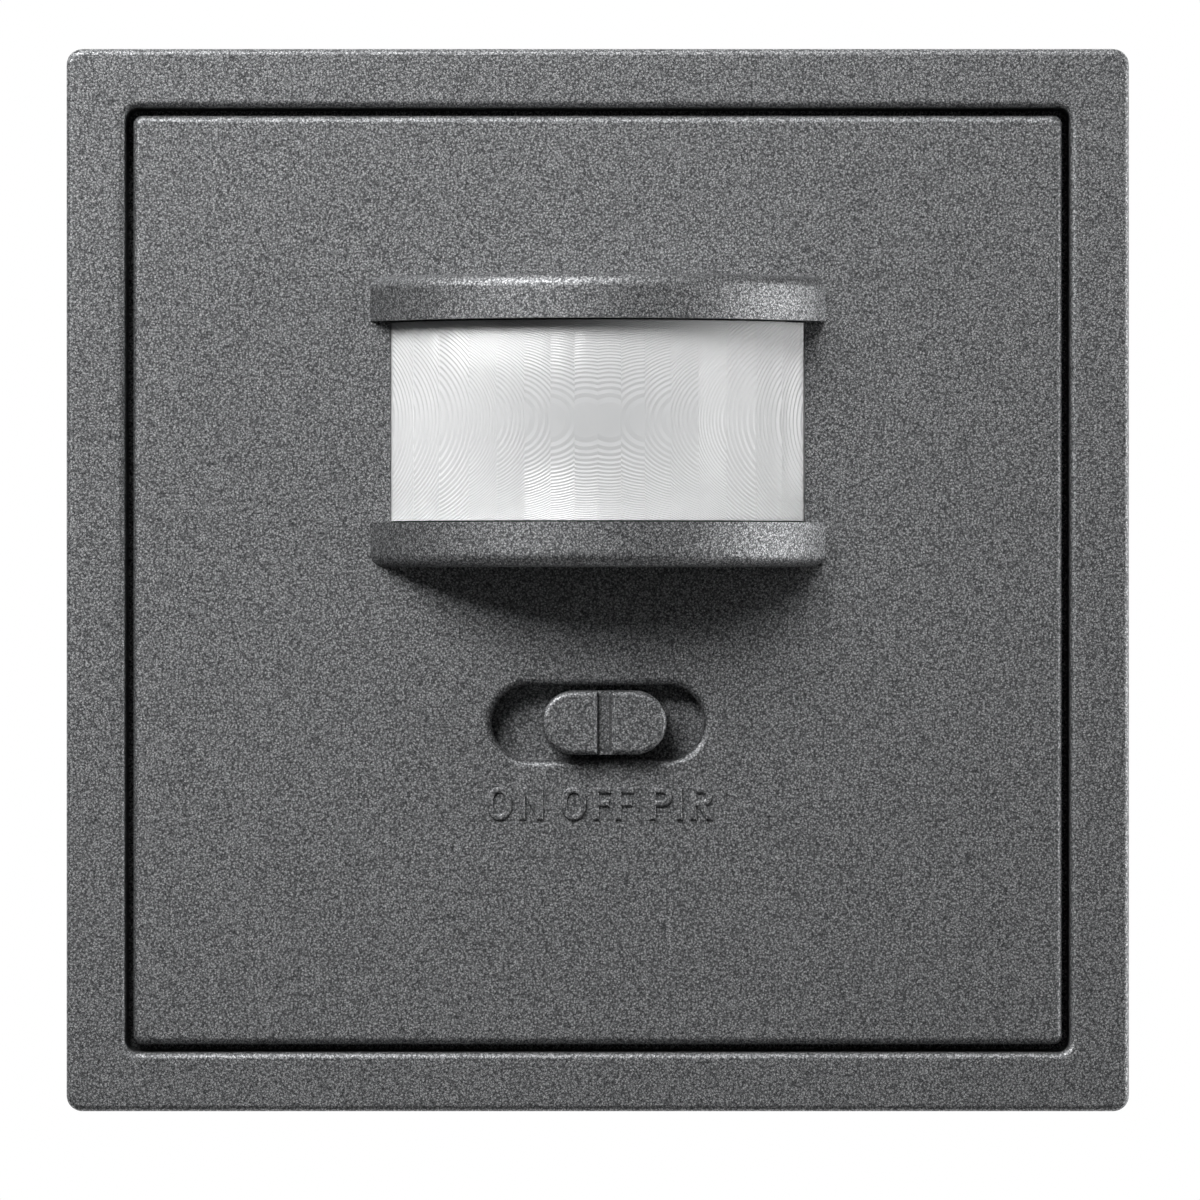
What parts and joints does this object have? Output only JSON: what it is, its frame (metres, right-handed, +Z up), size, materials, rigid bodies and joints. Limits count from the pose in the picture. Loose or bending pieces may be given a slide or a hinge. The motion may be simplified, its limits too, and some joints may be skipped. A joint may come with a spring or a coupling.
{
  "type": "motion sensor light switch",
  "caption": "Square anthracite flush wall switch with a hooded infrared motion lens, a slide for on, off and automatic, and a round insert with a support ring behind.",
  "frame": {"origin": "middle of the box screw slots on the wall plane, which is the back face of the support ring", "axes": "+X to the right seen from the room, +Y into the wall, +Z up"},
  "size_m": [0.081, 0.0465, 0.081],
  "materials": {
    "anthracite_lacquer": "fine metallic grain",
    "lens_white": "translucent satin",
    "black_plastic": "satin",
    "grey_housing": "matte",
    "light_plastic": "matte",
    "board_green": "solder mask",
    "phenolic_brown": "matte",
    "blue_plastic": "gloss",
    "film_yellow": "gloss",
    "sleeve_blue": "printed sleeve",
    "varistor_blue": "dipped",
    "fuse_brown": "gloss",
    "chip_tan": "matte",
    "sensor_ceramic": "matte",
    "zinc_steel": "zinc plated",
    "nickel_steel": "nickel plated",
    "contact_brass": "plated",
    "filter_dark": "coated"
  },
  "bodies": {
    "device": {"cover_frame": "anthracite_lacquer", "sensor_cover": "anthracite_lacquer", "sensor_lens": "lens_white", "switch_can": "nickel_steel", "switch_base": "phenolic_brown", "switch_contacts": "contact_brass", "sensor_board": "board_green", "detector_can": "nickel_steel", "detector_window": "filter_dark", "detector_base": "contact_brass", "light_sensor": "sensor_ceramic", "trimmer_bodies": "blue_plastic", "control_chip": "black_plastic", "chip_parts": "chip_tan", "sensor_carrier": "light_plastic", "plug_body": "black_plastic", "plug_pins": "contact_brass", "plug_socket": "black_plastic", "support_ring": "zinc_steel", "insert_housing": "grey_housing", "power_board": "board_green", "relay": "blue_plastic", "mains_capacitor": "film_yellow", "smoothing_capacitor": "sleeve_blue", "varistor": "varistor_blue", "fuse": "fuse_brown", "rectifier": "black_plastic", "line_terminal": "light_plastic", "neutral_terminal": "light_plastic", "load_terminal": "light_plastic", "wire_clamps": "nickel_steel", "terminal_screws": "zinc_steel", "assembly_screws": "zinc_steel"},
    "slide": {"slide_knob": "anthracite_lacquer", "switch_actuator": "black_plastic", "contact_wiper": "contact_brass"},
    "lux_rotor": {"lux_trimmer_rotor": "light_plastic"},
    "time_rotor": {"time_trimmer_rotor": "light_plastic"}
  },
  "joints": [
    {"name": "mode_slide", "type": "slide", "parent": "device", "child": "slide", "axis": [1, 0, 0], "range_m": [-0.00348, 0.00252]},
    {"name": "lux_turn", "type": "hinge", "parent": "device", "child": "lux_rotor", "pos_m": [-0.0105, -0.007, -0.0194], "axis": [0, 1, 0], "range_deg": [-135, 135]},
    {"name": "time_turn", "type": "hinge", "parent": "device", "child": "time_rotor", "pos_m": [0.0105, -0.007, -0.0194], "axis": [0, 1, 0], "range_deg": [-135, 135]}
  ]
}
